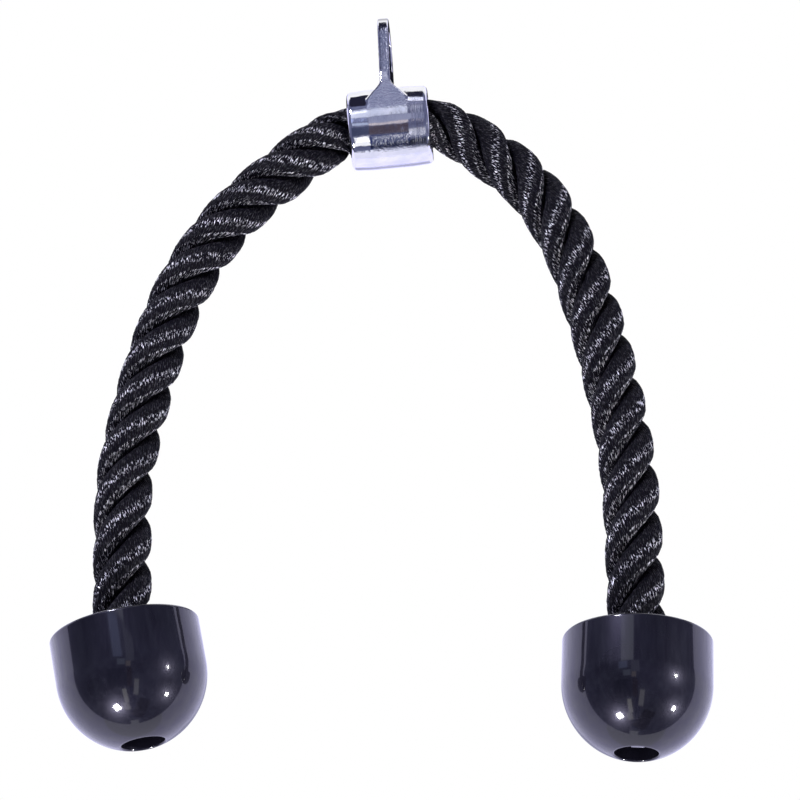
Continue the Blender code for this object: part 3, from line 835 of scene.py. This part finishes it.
# Glossy black plastic as moulded: a deep blue-black, mirror smooth, with faint ripples about 22 mm
# apart where the plastic cooled, a grain of 1.1 mm and the fine scuffs of handling, 1.4 mm wide.
# Scales are in cells a metre.
RIPPLE_SCALE = 45.0
RIPPLE_DEPTH = 1 * MM
GRAIN_SCALE = 900.0
GRAIN_DEPTH = 0.1 * MM
SCUFF_SCALE = 700.0
cap_material, tree = new_material("moulded_black_plastic")
place_in = add(tree, "ShaderNodeTexCoord")
ripple = add(
    tree, "ShaderNodeTexNoise", {"Vector": place_in.outputs["Object"]}, Scale=RIPPLE_SCALE, Detail=1.0
)
grain = add(
    tree, "ShaderNodeTexNoise", {"Vector": place_in.outputs["Object"]}, Scale=GRAIN_SCALE, Detail=2.0
)
scuff_place = add(
    tree, "ShaderNodeMapping", {"Vector": place_in.outputs["Object"]}, Scale=(1.0, 1.0, 0.16)
)
scuff = add(
    tree, "ShaderNodeTexNoise", {"Vector": scuff_place.outputs[0]}, Scale=SCUFF_SCALE, Detail=2.0
)
shine = add(
    tree,
    "ShaderNodeMapRange",
    {"Value": scuff.outputs["Fac"]},
    From_Min=0.45,
    From_Max=0.75,
    To_Min=0.32,
    To_Max=0.45,
)
depth_tone = add(tree, "ShaderNodeValToRGB", {"Fac": ripple.outputs["Fac"]})
depth_tone.color_ramp.elements[0].position = 0.3
depth_tone.color_ramp.elements[0].color = linear("#08070d")
depth_tone.color_ramp.elements[1].position = 0.7
depth_tone.color_ramp.elements[1].color = linear("#100f18")
ripple_bump = add(
    tree, "ShaderNodeBump", {"Height": ripple.outputs["Fac"]}, Strength=0.12, Distance=RIPPLE_DEPTH
)
grain_bump = add(
    tree,
    "ShaderNodeBump",
    {"Height": grain.outputs["Fac"], "Normal": ripple_bump.outputs[0]},
    Strength=0.06,
    Distance=GRAIN_DEPTH,
)
plastic = add(
    tree,
    "ShaderNodeBsdfPrincipled",
    {"Base Color": depth_tone.outputs[0], "Roughness": shine.outputs[0], "Normal": grain_bump.outputs[0]},
    IOR=1.5,
    Specular_IOR_Level=0.2,
    Specular_Tint=linear("#d8d2f8"),
    Coat_Weight=1.0,
    Coat_Roughness=0.06,
    Coat_IOR=1.56,
)
finish_material(tree, plastic)


def gate_tab():
    """The stub of the gate on the near side of the hole, where the plastic ran into the mould."""
    bpy.ops.object.select_all(action="DESELECT")
    bpy.ops.mesh.primitive_cube_add(size=1)
    made = bpy.context.object
    bpy.ops.object.mode_set(mode="EDIT")
    bpy.ops.mesh.select_all(action="SELECT")
    bpy.ops.transform.resize(value=(GATE_WIDTH, GATE_REACH, GATE_THICKNESS))
    middle = GATE_REACH / 2 - GATE_ROOT - CAP_HOLE_RADIUS
    bpy.ops.transform.translate(value=(0, middle, GATE_LIFT - CAP_HEIGHT))
    bpy.ops.mesh.select_all(action="DESELECT")
    shape = bmesh.from_edit_mesh(made.data)
    for vertex in shape.verts:
        vertex.select = vertex.co.y > middle
    shape.select_flush(True)
    bmesh.update_edit_mesh(made.data)
    bpy.ops.transform.resize(value=(GATE_TIP_SHARE, 1, 1))
    bpy.ops.mesh.select_all(action="SELECT")
    bpy.ops.mesh.bevel(offset=GATE_EDGE, segments=3)
    bpy.ops.mesh.normals_make_consistent(inside=False)
    bpy.ops.object.mode_set(mode="OBJECT")
    bpy.ops.object.shade_smooth_by_angle(angle=SMOOTH_ANGLE)
    return made


for side_name, side, lean, swing, rise in (
    ("left", -1, LEFT_CAP_LEAN, LEFT_CAP_SWING, LEFT_CAP_RAISE),
    ("right", 1, RIGHT_CAP_LEAN, 0, 0),
):
    cap_outline = [(r, 0, z) for r, z in cap_half]
    cap = turned_shell(f"{side_name}_moulded_cap", cap_outline, (0, 0, 1), CAP_STEPS)
    bpy.ops.object.shade_smooth_by_angle(angle=SMOOTH_ANGLE)
    if side_name == "right":
        cap = joined(f"{side_name}_moulded_cap", [cap, gate_tab()])
    cocked = Matrix.Rotation(swing, 4, "X") @ Matrix.Rotation(-lean, 4, "Y")
    place(cap, Matrix.Translation(legs[side].rim + [0, 0, rise]) @ cocked)
    cap.data.materials.append(cap_material)
    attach(cap, f"{side_name}_lower")
    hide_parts(f"{side_name}_end_cap")
    lower, marks = lower_ropes[side]
    path = [legs[side].at(distance).tolist() for distance in marks]

# Ferrules: zinc-plated steel sleeves crimped on the rope's ends, hidden in the caps. Bright zinc
# on cold-formed steel is grey with a blue cast, satin, and spangled about every 2 mm.
SPANGLE_SCALE = 500.0
zinc, tree = new_material("zinc_plated_steel_sleeve")
place_in = add(tree, "ShaderNodeTexCoord")
spangle = add(
    tree, "ShaderNodeTexVoronoi", {"Vector": place_in.outputs["Object"]}, Scale=SPANGLE_SCALE
)
tone = add(tree, "ShaderNodeValToRGB", {"Fac": spangle.outputs["Distance"]})
tone.color_ramp.elements[0].color = linear("#8c9299")
tone.color_ramp.elements[1].color = linear("#b7bcc2")
matt = add(
    tree, "ShaderNodeMapRange", {"Value": spangle.outputs["Distance"]}, To_Min=0.3, To_Max=0.45
)
sleeve = add(
    tree,
    "ShaderNodeBsdfPrincipled",
    {"Base Color": tone.outputs[0], "Roughness": matt.outputs[0]},
    Metallic=1.0,
)
finish_material(tree, sleeve)
for side_name in ("left", "right"):
    ferrule_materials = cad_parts[f"{side_name}_ferrule"].data.materials
    ferrule_materials.clear()
    ferrule_materials.append(zinc)

# Camera: below the rope and in front of it, looking up by 26.5 degrees.
LOOK_UP = math.radians(26.5)
CAMERA_PLACE = (0.00885929, -1.32652686, -0.88042908)
camera = bpy.data.objects.new("camera", bpy.data.cameras.new("camera"))
bpy.context.scene.collection.objects.link(camera)
camera.data.sensor_width = 36
camera.data.lens = 126
camera.data.clip_start = 0.05
camera.location = CAMERA_PLACE
camera.rotation_euler = (math.pi / 2 + LOOK_UP, 0, 0)
bpy.context.scene.camera = camera
bpy.context.scene.view_settings.view_transform = "Standard"

# Studio: a white floor and sweep, a dim room in front that only reflections show, and lamps.
FLOOR_HEIGHT = -1.9
FLOOR_SIZE = 12
world = bpy.data.worlds.new("white_sweep")
bpy.context.scene.world = world
world.use_nodes = True
tree = world.node_tree
tree.nodes.clear()
rays = add(tree, "ShaderNodeLightPath")
seen = add(
    tree,
    "ShaderNodeMath",
    {0: rays.outputs["Is Camera Ray"], 1: rays.outputs["Is Glossy Ray"]},
    operation="MAXIMUM",
)
seen = add(
    tree,
    "ShaderNodeMath",
    {0: seen.outputs[0], 1: rays.outputs["Is Transmission Ray"]},
    operation="MAXIMUM",
)
white = add(tree, "ShaderNodeBackground", Color=(1, 1, 1, 1), Strength=1.0)
ambient = add(tree, "ShaderNodeBackground", Color=linear("#dcdce6"), Strength=0.5)
mixed = add(
    tree, "ShaderNodeMixShader", {0: seen.outputs[0], 1: ambient.outputs[0], 2: white.outputs[0]}
)
output = add(tree, "ShaderNodeOutputWorld")
tree.links.new(mixed.outputs[0], output.inputs["Surface"])

bpy.ops.object.select_all(action="DESELECT")
bpy.ops.mesh.primitive_plane_add(size=FLOOR_SIZE, location=(0, 0, FLOOR_HEIGHT))
floor = bpy.context.object
floor.name = "floor"
paper, tree = new_material("white_paper_floor")
matt = add(tree, "ShaderNodeBsdfDiffuse", Color=linear("#f2f2f4"))
rays = add(tree, "ShaderNodeLightPath")
paper_tone = add(
    tree,
    "ShaderNodeMixRGB",
    {"Fac": rays.outputs["Is Glossy Ray"]},
    Color1=linear("#f4f3fe"),
    Color2=linear("#ececff"),
)
glow = add(tree, "ShaderNodeEmission", {"Color": paper_tone.outputs[0]}, Strength=1.0)
seen = add(
    tree,
    "ShaderNodeMath",
    {0: rays.outputs["Is Camera Ray"], 1: rays.outputs["Is Glossy Ray"]},
    operation="MAXIMUM",
)
brighter = add(
    tree, "ShaderNodeMapRange", {"Value": rays.outputs["Is Glossy Ray"]}, To_Min=0.75, To_Max=0.97
)
share = add(
    tree, "ShaderNodeMath", {0: seen.outputs[0], 1: brighter.outputs[0]}, operation="MULTIPLY"
)
mixed = add(
    tree, "ShaderNodeMixShader", {0: share.outputs[0], 1: matt.outputs[0], 2: glow.outputs[0]}
)
finish_material(tree, mixed)
floor.data.materials.append(paper)


def glossy_only(made):
    """Hides a piece of the studio from all but reflections."""
    made.visible_camera = False
    made.visible_diffuse = False
    made.visible_transmission = False
    made.visible_shadow = False
    made.visible_volume_scatter = False


ROOM_RADIUS = 1.8
ROOM_EDGE = (0, math.cos(math.radians(7)), math.sin(math.radians(7)))
SWEEP_TOP = 1.35
SWEEP_FOOT = -1.6


def half_room(name, keep_front, dark, light, strength):
    """One half of a sphere round the object that only reflections show, in two tones that drift."""
    bpy.ops.object.select_all(action="DESELECT")
    bpy.ops.mesh.primitive_uv_sphere_add(
        segments=64, ring_count=32, radius=ROOM_RADIUS, location=COLLAR_MIDDLE
    )
    made = bpy.context.object
    made.name = name
    bpy.ops.object.mode_set(mode="EDIT")
    bpy.ops.mesh.select_all(action="SELECT")
    bpy.ops.mesh.bisect(
        plane_co=COLLAR_MIDDLE, plane_no=ROOM_EDGE, clear_outer=keep_front, clear_inner=not keep_front
    )
    if not keep_front:
        for height, above in ((SWEEP_TOP, True), (SWEEP_FOOT, False)):
            bpy.ops.mesh.select_all(action="SELECT")
            bpy.ops.mesh.bisect(
                plane_co=(0, 0, height), plane_no=(0, 0, 1), clear_outer=above, clear_inner=not above
            )
    bpy.ops.object.mode_set(mode="OBJECT")
    wall, tree = new_material(name)
    place_in = add(tree, "ShaderNodeTexCoord")
    drift = add(
        tree, "ShaderNodeTexNoise", {"Vector": place_in.outputs["Object"]}, Scale=3.0, Detail=3.0
    )
    tones = add(tree, "ShaderNodeValToRGB", {"Fac": drift.outputs["Fac"]})
    tones.color_ramp.elements[0].position = 0.35
    tones.color_ramp.elements[0].color = linear(dark)
    tones.color_ramp.elements[1].position = 0.7
    tones.color_ramp.elements[1].color = linear(light)
    glow = add(tree, "ShaderNodeEmission", {"Color": tones.outputs[0]}, Strength=strength)
    finish_material(tree, glow)
    made.data.materials.append(wall)
    glossy_only(made)


half_room("dim_room", True, "#4c4e6c", "#767b99", 1.0)
half_room("lavender_sweep", False, "#d0cef5", "#e0dffc", 1.4)
CARD_DISTANCE = 1.6


def way_to(azimuth, elevation):
    """The direction from the object, by degrees to the right of the front and above the level."""
    turn, rise = math.radians(azimuth), math.radians(elevation)
    return Vector((math.sin(turn) * math.cos(rise), -math.cos(turn) * math.cos(rise), math.sin(rise)))


def card(name, left, right, low, high, tone, strength=1.0, soft=0.12):
    """A card that only reflections show, by its bounds in degrees as the collar sees it. It fades
    out towards its edges over a share of its half width and height."""
    bpy.ops.object.select_all(action="DESELECT")
    bpy.ops.mesh.primitive_plane_add(size=1)
    made = bpy.context.object
    made.name = name
    way = way_to((left + right) / 2, (low + high) / 2)
    made.location = COLLAR_MIDDLE + way * CARD_DISTANCE
    across = math.radians(right - left) * math.cos(math.radians((low + high) / 2))
    made.scale = (CARD_DISTANCE * across, CARD_DISTANCE * math.radians(high - low), 1)
    made.rotation_euler = way.to_track_quat("Z", "Y").to_euler()
    plain, tree = new_material(name)
    place_in = add(tree, "ShaderNodeTexCoord")
    spot = add(tree, "ShaderNodeSeparateXYZ", {"Vector": place_in.outputs["UV"]})
    fades = []
    for axis in ("X", "Y"):
        edge = add(tree, "ShaderNodeMath", {0: spot.outputs[axis], 1: 0.5}, operation="PINGPONG")
        fade = add(tree, "ShaderNodeMapRange", {"Value": edge.outputs[0]}, From_Max=soft / 2)
        fades.append(fade.outputs[0])
    inside = add(tree, "ShaderNodeMath", {0: fades[0], 1: fades[1]}, operation="MULTIPLY")
    clear = add(tree, "ShaderNodeBsdfTransparent")
    glow = add(tree, "ShaderNodeEmission", Color=linear(tone), Strength=strength)
    mixed = add(
        tree,
        "ShaderNodeMixShader",
        {0: inside.outputs[0], 1: clear.outputs[0], 2: glow.outputs[0]},
    )
    finish_material(tree, mixed)
    made.data.materials.append(plain)
    glossy_only(made)


# What the chrome and the caps mirror: the room's window, wall, shelves and stands in front, the
# reflectors under the rope, and dark flats behind that keep the caps' backs from washing out.
card("window", -25, -3.5, 6, 30, "#dfe4fa", 0.9, 0.15)
card("low_pane", -28, -13, -6, 7, "#aab6e6", 1.1, 0.3)
card("neck_pane", -20, -2, 30, 33.5, "#b9bdd6", 1.0, 0.3)
card("pale_blind", -14, -3, 34.5, 38.6, "#b0b5d2")
card("window_gap", -15.5, -12.5, 20, 27, "#ffffff", 1.6)
card("pale_wall", -9, 4, -12, 6.5, "#9498b2")
card("blue_shelf", -22, -8.5, -17.5, -7.5, "#a0aac5", 1.2, 0.3)
card("beige_shelf", -8.5, -1.2, -19.5, -11.5, "#b7aeb2", 1.3)
card("dark_stand", -40, -7, -47, -20, "#3f4560")
card("brown_stand", -7.5, 1, -47, -20, "#4a4049")
card("near_reflector", -20, -9.5, -67, -48, "#ffffff", 1.3, 0.15)
card("low_reflector", -32, -9.5, -76, -65, "#ffffff", 1.0, 0.2)
card("blue_floor", -8.5, 10, -90, -45, "#2c3866")
card("side_reflector", 3.5, 14, -59, -35, "#dcdde8", 1.2, 0.25)
card("side_window", -8, 13, 45.5, 60.5, "#d4d6ea", 1.7, 0.15)
card("dark_corner", 8, 60, -87, -59, "#1c1e2a")
card("dark_ceiling", -75, 35, 61, 89, "#232333")
card("dark_valance", -50, -13, 44, 63, "#232333")
card("floor_light", 125, 235, -89.5, -81, "#eceefe", 1.0, 0.3)
card("far_wall", 165, 195, -16, 12, "#b4b4d2", 1.0, 0.3)
card("dark_flat", 146, 187, 28, 40, "#15151f", 1.0, 0.02)
card("dark_wing", 96, 150, 34, 44, "#15151f", 1.0, 0.02)
card("dark_left_wing", -150, -96, 34, 44, "#15151f", 1.0, 0.02)
card("dark_left_flat", -174, -145, 28, 40, "#15151f", 1.0, 0.02)


LAMP_TARGET = Vector((0, 0, -0.25))


def lamp(name, azimuth, elevation, distance, size, power, colour):
    """A soft box that faces the middle of the rope, by its direction from there."""
    way = way_to(azimuth, elevation)
    data = bpy.data.lights.new(name, "AREA")
    data.shape = "RECTANGLE"
    data.size, data.size_y = size
    data.energy = power
    data.color = linear(colour)[:3]
    made = bpy.data.objects.new(name, data)
    bpy.context.scene.collection.objects.link(made)
    made.location = LAMP_TARGET + way * distance
    made.rotation_euler = way.to_track_quat("Z", "Y").to_euler()


lamp("low_left_lamp", -50, -64, 1.3, (0.16, 0.16), 16, "#ffffff")
lamp("low_right_lamp", 73, -39.5, 1.3, (0.09, 0.09), 8, "#ffffff")
lamp("right_lamp", 57.5, -5.5, 1.3, (0.035, 0.035), 7, "#ffffff")
lamp("key_lamp", -30, 36, 1.3, (0.2, 0.12), 14, "#ececff")
